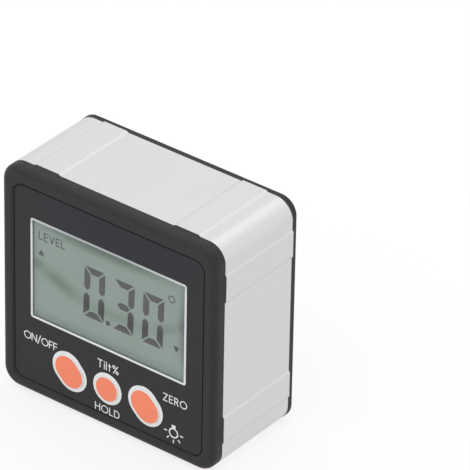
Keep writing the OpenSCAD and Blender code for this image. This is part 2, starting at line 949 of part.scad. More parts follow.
// Plate that joins the two cells at the left end, clear of the ridge between them
module bridge_contact() {
    color("#c8c2a8")
        along_x(-bay_half_w, -bay_half_w + contact_t) {
            contact_plate(z_upper);
            contact_plate(z_lower);
            translate([y_cell + cell_clear, z_lower])
                square([contact_w / 2 - cell_clear, cell_pitch]);
        }
}

// Conical coil from its plate at z = 0 to its cell, swept round by turns
module coil() {
    sides = 8;
    steps = 16 * spring_turns;
    wire_r = spring_wire / 2;
    function coil_r(t) = (spring_foot_d + (spring_tip_d - spring_foot_d) * t) / 2 - wire_r;
    function coil_z(t) = wire_r + (spring_len - spring_wire) * t;
    points = [
        for (step = [0:steps], side = [0:sides - 1])
            let (t = step / steps, turn = 360 * spring_turns * t, lean = 360 * side / sides)
                let (r = coil_r(t) + wire_r * cos(lean))
                    [r * cos(turn), r * sin(turn), coil_z(t) + wire_r * sin(lean)]
    ];
    faces = [
        for (step = [0:steps - 1], side = [0:sides - 1])
            let (next = (side + 1) % sides, here = step * sides, ahead = here + sides)
                [here + side, ahead + side, ahead + next, here + next],
        [for (side = [0:sides - 1]) side],
        [for (side = [sides - 1:-1:0]) steps * sides + side]
    ];
    polyhedron(points, faces);
}

module contact_springs() {
    color("#b5b8bb") {
        translate([-bay_half_w + contact_t, y_cell, z_upper])
            rotate([0, 90, 0])
                coil();
        translate([bay_half_w - contact_t, y_cell, z_lower])
            rotate([0, -90, 0])
                coil();
    }
}

frame();
base_magnets();
front_cover();
front_panel();
display_lens();
on_off_button();
hold_button();
zero_button();
on_off_plunger();
hold_plunger();
zero_plunger();
on_off_switch();
hold_switch();
zero_switch();
lcd_cell();
light_guide();
backlight_lamps();
elastic_connector();
circuit_board();
controller_chip();
tilt_sensor();
clock_crystal();
board_screws();
rear_cover();
battery_door();
upper_cell();
lower_cell();
positive_contact();
negative_contact();
bridge_contact();
contact_springs();
case_screws();
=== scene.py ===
"""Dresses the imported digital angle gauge: its finishes, print, display image, light and camera."""

import logging
import math
from dataclasses import dataclass, field
from enum import Enum

import bmesh
import bpy
from mathutils import Matrix, Quaternion, Vector
from mathutils.geometry import delaunay_2d_cdt


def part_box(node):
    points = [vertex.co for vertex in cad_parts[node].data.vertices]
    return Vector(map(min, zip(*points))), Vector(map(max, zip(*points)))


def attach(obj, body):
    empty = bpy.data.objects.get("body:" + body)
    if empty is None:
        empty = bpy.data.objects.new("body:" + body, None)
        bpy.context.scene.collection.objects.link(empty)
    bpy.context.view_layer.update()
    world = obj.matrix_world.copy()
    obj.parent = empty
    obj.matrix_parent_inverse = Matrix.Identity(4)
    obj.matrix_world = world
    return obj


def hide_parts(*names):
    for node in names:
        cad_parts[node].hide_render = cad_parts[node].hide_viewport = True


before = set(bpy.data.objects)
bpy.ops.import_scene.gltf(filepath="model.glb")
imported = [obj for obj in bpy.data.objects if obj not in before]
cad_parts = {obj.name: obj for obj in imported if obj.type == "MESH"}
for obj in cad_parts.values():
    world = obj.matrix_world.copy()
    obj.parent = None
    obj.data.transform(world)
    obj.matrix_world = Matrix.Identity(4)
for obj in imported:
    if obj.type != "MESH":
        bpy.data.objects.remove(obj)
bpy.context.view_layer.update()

LOG = logging.getLogger("gauge")
MM = 0.001
FULL_TURN = 360.0
# Below acrylic's usual 1.49, matched to the weak gloss that the photograph shows
ACRYLIC_IOR = 1.35
# The noise of every grain: its finer layers and how strong each is against the last
GRAIN_DETAIL = 3.0
GRAIN_ROUGHNESS = 0.55
# Sockets of a colour mix, whose names the node's other kinds of mix have too
MIX_FACTOR = 0
MIX_FIRST = 6
MIX_SECOND = 7
MIX_RESULT = 2
# How near two points are one, when shapes are cut at their crossings and when the sheet is cleaned
WELD_MM = 0.00001
MERGE_MM = 0.001
# The cutter's output that splits shapes where they cross, into faces that a bmesh can hold
SPLIT_AT_CROSSINGS = 4
# Share of the half width that rounds an end fully without closing the last edge
NEARLY = 0.9999

Point = tuple[float, float]
Triple = tuple[float, float, float]


def linear(code: str) -> tuple[float, float, float, float]:
    """Turns an sRGB hex colour into the linear colour that a shader socket takes.

    Args:
        code: Six hex digits.

    Returns:
        Linear red, green and blue, and an alpha of one.
    """
    channels = [int(code[at:at + 2], 16) / 255 for at in (0, 2, 4)]
    # The curve of the sRGB standard
    red, green, blue = (c / 12.92 if c <= 0.04045 else ((c + 0.055) / 1.055) ** 2.4 for c in channels)
    return red, green, blue, 1.0


def add_node(
    tree: bpy.types.NodeTree,
    kind: str,
    values: dict | None = None,
    links: dict | None = None,
    **settings: object,
) -> bpy.types.Node:
    """Adds a node to a tree with its settings, its constant inputs and its links.

    Args:
        tree: The node tree.
        kind: Blender's name for the kind of node.
        values: Constant inputs, by socket name or number.
        links: Output sockets that feed its inputs, by socket name or number.
        **settings: The node's own properties.

    Returns:
        The new node.
    """
    node = tree.nodes.new(kind)
    for name, value in settings.items():
        setattr(node, name, value)
    for socket, value in (values or {}).items():
        node.inputs[socket].default_value = value
    for socket, source in (links or {}).items():
        tree.links.new(source, node.inputs[socket])
    return node


@dataclass(frozen=True)
class Finish:
    """A material of the gauge: one shader with a fine grain in its colour, gloss and surface."""

    name: str
    colour: str
    fleck: str
    roughness: float
    rough_span: float = 0.1
    metallic: float = 0.0
    specular: float = 0.5
    grain_mm: float = 0.3
    stretch: Triple = (1.0, 1.0, 1.0)
    depth_mm: float = 0.004
    relief: float = 0.3

    def material(self) -> bpy.types.Material:
        """Builds the material once.

        Returns:
            The material, the same one at every call.
        """
        known = bpy.data.materials.get(self.name)
        if known:
            return known
        material = bpy.data.materials.new(self.name)
        material.use_nodes = True
        tree = material.node_tree
        tree.nodes.clear()
        shader = add_node(
            tree,
            "ShaderNodeBsdfPrincipled",
            values={"Metallic": self.metallic, "Specular IOR Level": self.specular},
        )
        place = add_node(tree, "ShaderNodeTexCoord").outputs["Object"]
        self.detail(tree, shader, place)
        add_node(tree, "ShaderNodeOutputMaterial", links={"Surface": self.surface(tree, shader)})
        return material

    def surface(self, tree: bpy.types.NodeTree, shader: bpy.types.Node) -> bpy.types.NodeSocket:
        """Returns the socket that the material shows: the shader itself."""
        return shader.outputs["BSDF"]

    def grain(
        self,
        tree: bpy.types.NodeTree,
        place: bpy.types.NodeSocket,
        size_mm: float,
        stretch: Triple = (1.0, 1.0, 1.0),
    ) -> bpy.types.NodeSocket:
        """Adds a noise pattern of a real size.

        Args:
            tree: The node tree.
            place: Object coordinates, in metres.
            size_mm: Width of one grain in millimetres.
            stretch: How many times longer a grain is along each axis.

        Returns:
            The pattern, from 0 to 1.
        """
        per_metre = [1 / (size_mm * MM * times) for times in stretch]
        spot = add_node(tree, "ShaderNodeMapping", values={"Scale": per_metre}, links={"Vector": place})
        noise = add_node(
            tree,
            "ShaderNodeTexNoise",
            values={"Scale": 1.0, "Detail": GRAIN_DETAIL, "Roughness": GRAIN_ROUGHNESS},
            links={"Vector": spot.outputs["Vector"]},
        )
        return noise.outputs["Fac"]

    def paint(
        self, tree: bpy.types.NodeTree, place: bpy.types.NodeSocket, pattern: bpy.types.NodeSocket
    ) -> bpy.types.NodeSocket:
        """Mixes the colour and its flecks.

        Args:
            tree: The node tree.
            place: Object coordinates, in metres. Not used here.
            pattern: The grain, from 0 to 1.

        Returns:
            The colour.
        """
        tint = add_node(
            tree,
            "ShaderNodeMix",
            data_type="RGBA",
            values={MIX_FIRST: linear(self.colour), MIX_SECOND: linear(self.fleck)},
            links={MIX_FACTOR: pattern},
        )
        return tint.outputs[MIX_RESULT]

    def detail(
        self, tree: bpy.types.NodeTree, shader: bpy.types.Node, place: bpy.types.NodeSocket
    ) -> None:
        """Lays the grain into the shader's colour, roughness and normal.

        Args:
            tree: The node tree.
            shader: The shader that takes the detail.
            place: Object coordinates, in metres.
        """
        pattern = self.grain(tree, place, self.grain_mm, self.stretch)
        gloss = add_node(
            tree,
            "ShaderNodeMapRange",
            values={
                "To Min": self.roughness - self.rough_span / 2,
                "To Max": self.roughness + self.rough_span / 2,
            },
            links={"Value": pattern},
        )
        bump = add_node(
            tree,
            "ShaderNodeBump",
            values={"Strength": self.relief, "Distance": self.depth_mm * MM},
            links={"Height": pattern},
        )
        tree.links.new(self.paint(tree, place, pattern), shader.inputs["Base Color"])
        tree.links.new(gloss.outputs["Result"], shader.inputs["Roughness"])
        tree.links.new(bump.outputs["Normal"], shader.inputs["Normal"])


@dataclass(frozen=True)
class Shade:
    """A soft oval patch of another colour on an upright face, in millimetres along x and z, with which
    painted shade, light and reflection are laid on.
    """

    colour: str
    weight: float
    centre: Point
    half: Point
    turn_deg: float = 0.0


@dataclass(frozen=True)
class ShadedFinish(Finish):
    """A finish whose colour shifts softly from place to place, by laid-on patches of painted shade,
    painted light and painted reflection.
    """

    shades: tuple[Shade, ...] = ()

    def paint(
        self, tree: bpy.types.NodeTree, place: bpy.types.NodeSocket, pattern: bpy.types.NodeSocket
    ) -> bpy.types.NodeSocket:
        """Mixes the colour and its flecks, and lays each patch of painted light and shade over them.

        Args:
            tree: The node tree.
            place: Object coordinates, in metres.
            pattern: The grain, from 0 to 1.

        Returns:
            The colour.
        """
        colour = super().paint(tree, place, pattern)
        for shade in self.shades:
            spot = add_node(
                tree,
                "ShaderNodeMapping",
                vector_type="TEXTURE",
                values={
                    "Location": (shade.centre[0] * MM, 0.0, shade.centre[1] * MM),
                    "Rotation": (0.0, math.radians(-shade.turn_deg), 0.0),
                    "Scale": (shade.half[0] * MM, 1.0, shade.half[1] * MM),
                },
                links={"Vector": place},
            )
            oval = add_node(
                tree,
                "ShaderNodeTexGradient",
                gradient_type="SPHERICAL",
                links={"Vector": spot.outputs["Vector"]},
            )
            soft = add_node(
                tree,
                "ShaderNodeMapRange",
                interpolation_type="SMOOTHSTEP",
                values={"To Max": shade.weight},
                links={"Value": oval.outputs["Fac"]},
            )
            layer = add_node(
                tree,
                "ShaderNodeMix",
                data_type="RGBA",
                values={MIX_SECOND: linear(shade.colour)},
                links={MIX_FACTOR: soft.outputs["Result"], MIX_FIRST: colour},
            )
            colour = layer.outputs[MIX_RESULT]
        return colour


@dataclass(frozen=True)
class ClearSheet(Finish):
    """Clear plastic: what lies behind it shows, and the light of lamps reaches through it."""

    def detail(
        self, tree: bpy.types.NodeTree, shader: bpy.types.Node, place: bpy.types.NodeSocket
    ) -> None:
        """Makes the shader clear, with the slight waviness of a moulded window.

        Args:
            tree: The node tree.
            shader: The shader that takes the detail.
            place: Object coordinates, in metres.
        """
        shader.inputs["Base Color"].default_value = linear(self.colour)
        shader.inputs["Transmission Weight"].default_value = 1.0
        shader.inputs["IOR"].default_value = ACRYLIC_IOR
        shader.inputs["Roughness"].default_value = self.roughness
        bump = add_node(
            tree,
            "ShaderNodeBump",
            values={"Strength": self.relief, "Distance": self.depth_mm * MM},
            links={"Height": self.grain(tree, place, self.grain_mm)},
        )
        tree.links.new(bump.outputs["Normal"], shader.inputs["Normal"])

    def surface(self, tree: bpy.types.NodeTree, shader: bpy.types.Node) -> bpy.types.NodeSocket:
        """Lets the light of lamps pass.

        Args:
            tree: The node tree.
            shader: The clear shader.

        Returns:
            The clear shader for sight, and nothing for shadow rays.
        """
        passing = add_node(tree, "ShaderNodeBsdfTransparent")
        path = add_node(tree, "ShaderNodeLightPath")
        mix = add_node(
            tree,
            "ShaderNodeMixShader",
            links={
                0: path.outputs["Is Shadow Ray"],
                1: shader.outputs["BSDF"],
                2: passing.outputs["BSDF"],
            },
        )
        return mix.outputs["Shader"]


# Bead blasted, clear anodised extrusion: a pale even satin with faint draw lines along its depth.
BLASTED_ALUMINIUM = Finish(
    "blasted anodised aluminium", "D4D4D4", "DADADA", roughness=0.42, metallic=1.0,
    grain_mm=0.35, stretch=(1.0, 40.0, 1.0), depth_mm=0.002, relief=0.06,
)
# Nickel plate on the magnets, cans, contacts and springs: bright and smooth.
NICKEL_PLATE = Finish(
    "nickel plate", "B9B7B1", "C6C4BE", roughness=0.22, metallic=1.0, grain_mm=0.6, relief=0.1
)
# Black ABS from a spark eroded mould: charcoal with a fine even grain and a dull sheen.
MOULDED_ABS = Finish(
    "moulded black ABS", "242425", "2A2A2C", roughness=0.55, specular=0.3, grain_mm=0.32, depth_mm=0.012
)
# Screen printed polyester film: darker and smoother than the moulded rim, with a painted bluish
# reflection toward its top.
PRINTED_FILM = ShadedFinish(
    "printed polyester film", "1E1E1F", "232324", roughness=0.45, specular=0.3, grain_mm=0.5,
    # Painted bluish reflection over the film's upper part
    shades=(Shade("1D1F27", 1.0, (2.0, 48.0), (44.0, 16.0)),),
)
# White screen ink: matt and even.
WHITE_INK = Finish("white screen ink", "E1E4E4", "E8EAEA", roughness=0.6, grain_mm=0.25)
# Pale grey screen ink of the window's edge: matt, with painted shade along its top and painted light
# along its foot.
GREY_INK = ShadedFinish(
    "pale grey screen ink", "D3D6D6", "DADDDD", roughness=0.6, grain_mm=0.25,
    shades=(
        # Painted shade along the top of the edge
        Shade("979B9F", 1.0, (-2.5, 41.15), (34.0, 1.8)),
        # Painted light along the foot of the edge
        Shade("E0E3E3", 1.0, (0.0, 19.0), (60.0, 1.6)),
    ),
)
# Silicone rubber of the keys' bodies: a cool white with a soft skin.
WHITE_RUBBER = Finish(
    "white silicone rubber", "E1E4E5", "E9EBEC", roughness=0.55, grain_mm=0.3, depth_mm=0.006
)
# Silicone ink on the keys' faces: an even salmon orange.
ORANGE_INK = Finish("orange silicone ink", "F3825F", "F78A6A", roughness=0.55, grain_mm=0.3)
# Reflective twisted nematic display: grey green glass over foil, with painted reflections in soft bands
# and painted shade along its edges.
DISPLAY_GLASS = ShadedFinish(
    "grey green display glass", "99ACA2", "A0B2A9", roughness=0.3, specular=0.15, grain_mm=7.0,
    relief=0.05,
    shades=(
        # Painted reflection of a dark streak across the glass, in five patches
        Shade("6C8778", 0.9, (-12.3, 29.2), (9.2, 3.1), -20.0),
        Shade("769081", 0.65, (1.0, 27.2), (13.0, 2.2)),
        Shade("77897F", 0.65, (14.5, 29.6), (6.5, 2.2), 25.0),
        Shade("5F7468", 0.65, (-18.3, 31.7), (2.6, 2.2)),
        Shade("5F6F70", 0.7, (18.8, 31.7), (2.2, 2.6)),
        # Painted shade along the top, the foot and the two sides of the glass
        Shade("546E5E", 0.92, (-1.5, 41.2), (24.0, 2.9)),
        Shade("7C8C86", 0.6, (0.0, 19.6), (60.0, 2.4)),
        Shade("5E6A74", 1.0, (19.8, 31.0), (3.2, 18.0)),
        Shade("74858A", 0.35, (-20.0, 31.0), (2.8, 18.0)),
    ),
)
# Switched liquid crystal: a dull grey, with a painted dark reflection across the upright bars at the
# figures' foot.
DARK_CRYSTAL = ShadedFinish(
    "dark liquid crystal", "4C4A4F", "545257", roughness=0.4, specular=0.15, grain_mm=0.8,
    # Painted dark reflection across the lower bars of the figures
    shades=(Shade("050809", 1.0, (1.0, 27.2), (34.0, 3.2)),),
)
# The same in the thin strokes of the word and the signs: a greener grey.
FAINT_CRYSTAL = Finish(
    "faint liquid crystal", "444C48", "4C5450", roughness=0.4, specular=0.15, grain_mm=0.8
)
# Polished acrylic window: clear, with a weak gloss.
CLEAR_ACRYLIC = ClearSheet(
    "clear acrylic", "FFFFFF", "FFFFFF", roughness=0.03, specular=0.2, grain_mm=9.0, relief=0.02
)
# Zinc plated steel: a cool grey shine.
ZINC_PLATE = Finish("zinc plated steel", "A9AAA8", "B8B9B6", roughness=0.32, metallic=1.0, grain_mm=0.4)
# Moulded nylon of a switch plunger: a dull brown.
BROWN_NYLON = Finish("brown nylon", "5A3A28", "62412E", roughness=0.5, grain_mm=0.3)
# Glass filled nylon of a switch body: black with pale fibre flecks.
BLACK_NYLON = Finish("black glass filled nylon", "1C1C1C", "2A2A2A", roughness=0.55, grain_mm=0.2)
# Opal acrylic of the light guide: milky and even.
OPAL_ACRYLIC = Finish("opal acrylic", "E6EAE8", "EEF1EF", roughness=0.3, grain_mm=1.5)
# Phosphor resin over a lamp chip: pale yellow.
LAMP_RESIN = Finish("pale lamp resin", "EDE9C4", "F3EFD2", roughness=0.4, grain_mm=0.5)
# Layered silicone strip: rose walls with dark conducting layers across it.
STRIP_SILICONE = Finish(
    "layered silicone strip", "C98F8A", "1D1B1B", roughness=0.6, grain_mm=0.2, stretch=(1.0, 40.0, 40.0)
)
# Solder resist over glass epoxy: glossy green.
SOLDER_RESIST = Finish("green solder resist", "1F5B39", "2A6B45", roughness=0.35, grain_mm=0.5)
# Moulded epoxy chip package: dull black.
CHIP_EPOXY = Finish("black moulded epoxy", "202122", "2B2C2D", roughness=0.6, grain_mm=0.15)
# Moulded epoxy sensor package: dull grey.
SENSOR_EPOXY = Finish("grey moulded epoxy", "6B6D6E", "77797A", roughness=0.5, grain_mm=0.2)
# Shrink sleeve of a dry cell: glossy slate blue.
CELL_SLEEVE = Finish("blue shrink sleeve", "2F3A46", "37434F", roughness=0.25, grain_mm=2.0)
# Printed band of the sleeve at the cell's button: a glossy pale grey.
CELL_BAND = Finish("grey shrink sleeve", "B4B9BD", "BEC3C6", roughness=0.25, grain_mm=2.0)


class Tip(Enum):
    """The cut end of a display bar: how far its left, middle and right draw back, in bar widths."""

    POINT = (0.5, 0.0, 0.5)
    MITRE_LEFT = (1.0, 0.5, 0.0)
    MITRE_RIGHT = (0.0, 0.5, 1.0)


@dataclass(frozen=True)
class Line:
    """A straight pen stroke between two points of a letter's box."""

    x0: float
    y0: float
    x1: float
    y1: float


@dataclass(frozen=True)
class Arc:
    """A round pen stroke about a point of a letter's box, with its angles in degrees."""

    x: float
    y: float
    radius: float
    start: float = 0.0
    sweep: float = FULL_TURN


# A plain geometric sans: each letter's width and its pen strokes, where a capital is one high
LETTERS: dict[str, tuple[float, tuple[Line | Arc, ...]]] = {
    "/": (0.42, (Line(0, -0.12, 0.42, 1.12),)),
    "%": (0.8, (Arc(0.17, 0.83, 0.17), Arc(0.63, 0.17, 0.17), Line(0.1, 0, 0.7, 1))),
    "D": (
        0.75,
        (Line(0, 0, 0, 1), Line(0, 1, 0.25, 1), Line(0, 0, 0.25, 0), Arc(0.25, 0.5, 0.5, -90, 180)),
    ),
    "E": (0.5, (Line(0, 0, 0, 1), Line(0, 0, 0.5, 0), Line(0, 0.52, 0.46, 0.52), Line(0, 1, 0.5, 1))),
    "F": (0.5, (Line(0, 0, 0, 1), Line(0, 0.52, 0.44, 0.52), Line(0, 1, 0.5, 1))),
    "H": (0.7, (Line(0, 0, 0, 1), Line(0.7, 0, 0.7, 1), Line(0, 0.52, 0.7, 0.52))),
    "L": (0.48, (Line(0, 0, 0, 1), Line(0, 0, 0.48, 0))),
    "N": (0.74, (Line(0, 0, 0, 1), Line(0, 1, 0.74, 0), Line(0.74, 0, 0.74, 1))),
    "O": (1.0, (Arc(0.5, 0.5, 0.5),)),
    "R": (
        0.54,
        (
            Line(0, 0, 0, 1),
            Line(0, 1, 0.24, 1),
            Line(0, 0.48, 0.24, 0.48),
            Arc(0.24, 0.74, 0.26, -90, 180),
            Line(0.24, 0.48, 0.54, 0),
        ),
    ),
    "T": (0.66, (Line(0, 1, 0.66, 1), Line(0.33, 0, 0.33, 1))),
    "V": (0.72, (Line(0, 1, 0.36, 0), Line(0.36, 0, 0.72, 1))),
    "Z": (0.6, (Line(0, 1, 0.6, 1), Line(0.6, 1, 0, 0), Line(0, 0, 0.6, 0))),
    "i": (0.0, (Line(0, 0, 0, 0.64), Line(0, 0.92, 0, 0.98))),
    "l": (0.0, (Line(0, 0, 0, 1.0),)),
    "t": (0.34, (Line(0.15, 0, 0.15, 0.9), Line(0, 0.64, 0.34, 0.64))),
}


def on_plane(centre: Point | Vector, angle: float) -> Matrix:
    """Returns the turn by an angle in radians and the move to a place on a stencil's plane."""
    return Matrix.Translation((centre[0], centre[1], 0)) @ Matrix.Rotation(angle, 4, "Z")


class Stencil:
    """Gathers flat shapes, drawn in millimetres on a plane, and raises them to one thin solid."""

    STEP_DEG = 8.0
    LEAST_STEPS = 6
    CORNER_STEPS = 8
    OVAL_STEPS = 48
    # Half the side of the unit square that bars and rectangles are scaled from
    HALF_SIDE = 0.5
    # Width, height and middle of the triangle in a circle of radius one
    TRIANGLE_WIDTH = math.sqrt(3)
    TRIANGLE_HEIGHT = 1.5
    TRIANGLE_MIDDLE = 0.25

    def __init__(self) -> None:
        """Starts with nothing drawn."""
        self.bm = bmesh.new()

    def bar(
        self,
        start: Point | Vector,
        end: Point | Vector,
        width: float,
        reach: float = 0.0,
        tips: tuple[Tip, Tip] | None = None,
    ) -> None:
        """Draws a straight bar.

        Args:
            start: The middle of its first end.
            end: The middle of its other end.
            width: Its width.
            reach: How far it goes past both points.
            tips: How its two ends are cut, if not square.
        """
        first, last = Vector(start), Vector(end)
        along = last - first
        middle = (first + last) / 2
        size = Matrix.Diagonal((along.length + 2 * reach, width, 1, 1))
        verts = bmesh.ops.create_grid(
            self.bm, x_segments=1, y_segments=2, size=self.HALF_SIDE, matrix=size
        )["verts"]
        for vert in verts if tips else ():
            at_end = vert.co.x > 0
            from_left = 1 - round(2 * vert.co.y / width)
            back = tips[at_end].value[from_left] * width
            bmesh.ops.translate(self.bm, verts=[vert], vec=(-back if at_end else back, 0, 0))
        place = on_plane(middle, math.atan2(along.y, along.x))
        bmesh.ops.transform(self.bm, matrix=place, verts=verts)

    def arc(
        self,
        centre: Point | Vector,
        radius: float,
        width: float,
        start: float = 0.0,
        sweep: float = FULL_TURN,
    ) -> None:
        """Draws a round band.

        Args:
            centre: The middle of its circle.
            radius: The radius at the middle of the band.
            width: The band's width.
            start: Where it starts, in degrees.
            sweep: How far it turns, in degrees.
        """
        ray = Matrix.Rotation(math.radians(start), 2) @ Vector((1, 0))
        hub = Vector(centre)
        spots = [hub + ray * (radius + side * width / 2) for side in (-1, 1)]
        ends = [self.bm.verts.new((spot.x, spot.y, 0)) for spot in spots]
        bmesh.ops.spin(
            self.bm,
            geom=[*ends, self.bm.edges.new(ends)],
            cent=(hub.x, hub.y, 0),
            axis=(0, 0, 1),
            angle=math.radians(sweep),
            steps=max(self.LEAST_STEPS, round(sweep / self.STEP_DEG)),
            use_merge=sweep >= FULL_TURN,
        )

    def triangle(self, centre: Point, width: float, height: float, turn: float = 0.0) -> None:
        """Draws a filled triangle that points up.

        Args:
            centre: The middle of its height.
            width: Its width.
            height: Its height.
            turn: Its turn in degrees.
        """
        unit = bmesh.ops.create_circle(self.bm, cap_ends=True, radius=1.0, segments=3)["verts"]
        place = on_plane(centre, math.radians(turn))
        size = Matrix.Diagonal((width / self.TRIANGLE_WIDTH, height / self.TRIANGLE_HEIGHT, 1, 1))
        lower = Matrix.Translation((0, -self.TRIANGLE_MIDDLE, 0))
        bmesh.ops.transform(self.bm, matrix=place @ size @ lower, verts=unit)

    def rounded(
        self, centre: Point, size: Point, radius: float, turn: float = 0.0
    ) -> bmesh.types.BMFace:
        """Draws a filled rectangle with round corners.

        Args:
            centre: Its middle.
            size: Its width and height.
            radius: The radius of its corners.
            turn: Its turn in degrees.

        Returns:
            Its face.
        """
        drawn = set(self.bm.faces)
        verts = bmesh.ops.create_grid(
            self.bm,
            x_segments=1,
            y_segments=1,
            size=self.HALF_SIDE,
            matrix=Matrix.Diagonal((*size, 1, 1)),
        )["verts"]
        bmesh.ops.bevel(
            self.bm,
            geom=verts,
            offset=radius,
            affect="VERTICES",
            segments=self.CORNER_STEPS,
            profile=0.5,
            material=-1,
        )
        (face,) = [face for face in self.bm.faces if face not in drawn]
        bmesh.ops.transform(self.bm, matrix=on_plane(centre, math.radians(turn)), verts=face.verts)
        return face

    def frame(self, centre: Point, size: Point, radius: float, band: float) -> None:
        """Draws the band along the edge of a rounded rectangle.

        Args:
            centre: Its middle.
            size: Its width and height outside.
            radius: The radius of its outer corners.
            band: The band's width.
        """
        face = self.rounded(centre, size, radius)
        bmesh.ops.inset_individual(self.bm, faces=[face], thickness=band, use_even_offset=True)
        bmesh.ops.delete(self.bm, geom=[face], context="FACES_ONLY")

    def oval(self, centre: Point, radius: float, stretch: float, width: float, turn: float) -> None:
        """Draws a band round an oval with two straight sides.

        Args:
            centre: Its middle.
            radius: The radius of its ends at the inside of the band.
            stretch: The length of its straight sides.
            width: The band's width.
            turn: Its turn in degrees.
        """
        half_step = Matrix.Rotation(math.pi / self.OVAL_STEPS, 4, "Z")
        verts = []
        for size in (radius, radius + width):
            verts += bmesh.ops.create_circle(
                self.bm, radius=size, segments=self.OVAL_STEPS, matrix=half_step
            )["verts"]
        for side in (-1, 1):
            end = [vert for vert in verts if vert.co.x * side > 0]
            bmesh.ops.translate(self.bm, verts=end, vec=(side * stretch / 2, 0, 0))
        bmesh.ops.transform(self.bm, matrix=on_plane(centre, math.radians(turn)), verts=verts)
        edges = list(dict.fromkeys(edge for vert in verts for edge in vert.link_edges))
        bmesh.ops.bridge_loops(self.bm, edges=edges)

    def words(self, text: str, corner: Point, width: float, height: float, pen: float) -> None:
        """Draws a word with even spaces between its letters.

        Args:
            text: The word.
            corner: Its lower left corner.
            width: Its whole width.
            height: The height of its capitals.
            pen: The width of its strokes.
        """
        scale = height - pen
        drawn = sum(LETTERS[letter][0] for letter in text) * scale + pen * len(text)
        space = (width - drawn) / (len(text) - 1)
        left = corner[0] + pen / 2
        low = corner[1] + pen / 2
        for letter in text:
            advance, strokes = LETTERS[letter]
            for stroke in strokes:
                self.stroke(stroke, (left, low), scale, pen)
            left += advance * scale + pen + space

    def stroke(self, stroke: Line | Arc, origin: Point, scale: float, pen: float) -> None:
        """Draws one stroke of a letter.

        Args:
            stroke: The stroke in the letter's box.
            origin: The box's lower left corner.
            scale: The box's height.
            pen: The stroke's width.
        """
        def spot(x: float, y: float) -> Point:
            """Returns a point of the letter's box on the plane."""
            return origin[0] + x * scale, origin[1] + y * scale

        if isinstance(stroke, Arc):
            self.arc(spot(stroke.x, stroke.y), stroke.radius * scale, pen, stroke.start, stroke.sweep)
        else:
            self.bar(spot(stroke.x0, stroke.y0), spot(stroke.x1, stroke.y1), pen, reach=pen / 2)

    def weld(self) -> None:
        """Unites shapes that overlap to one sheet."""
        self.bm.verts.index_update()
        self.bm.normal_update()
        loops = []
        for face in self.bm.faces:
            loop = [vert.index for vert in face.verts]
            loops.append(loop if face.normal.z > 0 else loop[::-1])
        points = [vert.co.xy for vert in self.bm.verts]
        points, _, loops, _, _, covers = delaunay_2d_cdt(points, [], loops, SPLIT_AT_CROSSINGS, WELD_MM)
        self.bm.clear()
        verts = [self.bm.verts.new((point.x, point.y, 0)) for point in points]
        for loop, cover in zip(loops, covers):
            if cover:
                self.bm.faces.new([verts[index] for index in loop])
        bmesh.ops.delete(self.bm, geom=[vert for vert in verts if not vert.link_faces], context="VERTS")
        bmesh.ops.remove_doubles(self.bm, verts=self.bm.verts, dist=MERGE_MM)

    def stand(self, height: float, carrier_y: float) -> bmesh.types.BMesh:
        """Raises the sheet to a solid that stands on an upright face that looks along -Y.

        Args:
            height: The solid's thickness in millimetres.
            carrier_y: Where the carrying face is, in metres.

        Returns:
            The solid, in metres.
        """
        upright = Matrix.Rotation(math.pi / 2, 4, "X")
        return self.solid(height, Matrix.Translation((0, carrier_y, 0)) @ upright)

    def solid(self, height: float, place: Matrix) -> bmesh.types.BMesh:
        """Raises the sheet to a solid and puts it in its place.

        Args:
            height: The solid's thickness in millimetres.
            place: Where the sheet's plane goes, in metres.

        Returns:
            The solid, in metres.
        """
        self.weld()
        made = bmesh.ops.extrude_face_region(self.bm, geom=self.bm.faces[:])["geom"]
        top = [part for part in made if isinstance(part, bmesh.types.BMVert)]
        bmesh.ops.translate(self.bm, verts=top, vec=(0, 0, height))
        bmesh.ops.transform(self.bm, matrix=place @ Matrix.Scale(MM, 4), verts=self.bm.verts)
        return self.bm


def make_piece(
    bm: bmesh.types.BMesh, name: str, finish: Finish, body: str
) -> bpy.types.Object:
    """Turns a finished bmesh into a piece that rides on a body.

    Args:
        bm: The closed shape, in metres and in place.
        name: The piece's name.
        finish: Its finish.
        body: The CAD body that carries it.

    Returns:
        The piece.
    """
    bmesh.ops.recalc_face_normals(bm, faces=bm.faces)
    mesh = bpy.data.meshes.new(name)
    bm.to_mesh(mesh)
    bm.free()
    mesh.materials.append(finish.material())
    piece = bpy.data.objects.new(name, mesh)
    bpy.context.scene.collection.objects.link(piece)
    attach(piece, body)
    LOG.info("%s: %d faces, %s, on %s", name, len(mesh.polygons), finish.name, body)
    return piece


@dataclass
class SubAssembly:
    """A group of CAD nodes with their finishes, and the pieces that are built on them."""

    finishes: dict[str, Finish]
    body: str = "housing"

    def dress(self) -> None:
        """Gives each CAD node of the group its finish."""
        for node, finish in self.finishes.items():
            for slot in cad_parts[node].material_slots:
                slot.material = finish.material()
            LOG.info("%s: %s", node, finish.name)

    def build(self) -> None:
        """Dresses the group, which has no pieces of its own."""
        self.dress()


@dataclass
class Housing(SubAssembly):
    """The extruded frame with its magnets, the two moulded covers and the screws that hold them."""

    finishes: dict[str, Finish] = field(
        default_factory=lambda: {
            "frame": BLASTED_ALUMINIUM,
            "base_magnets": NICKEL_PLATE,
            "front_cover": MOULDED_ABS,
            "rear_cover": MOULDED_ABS,
            "case_screws": ZINC_PLATE,
        }
    )


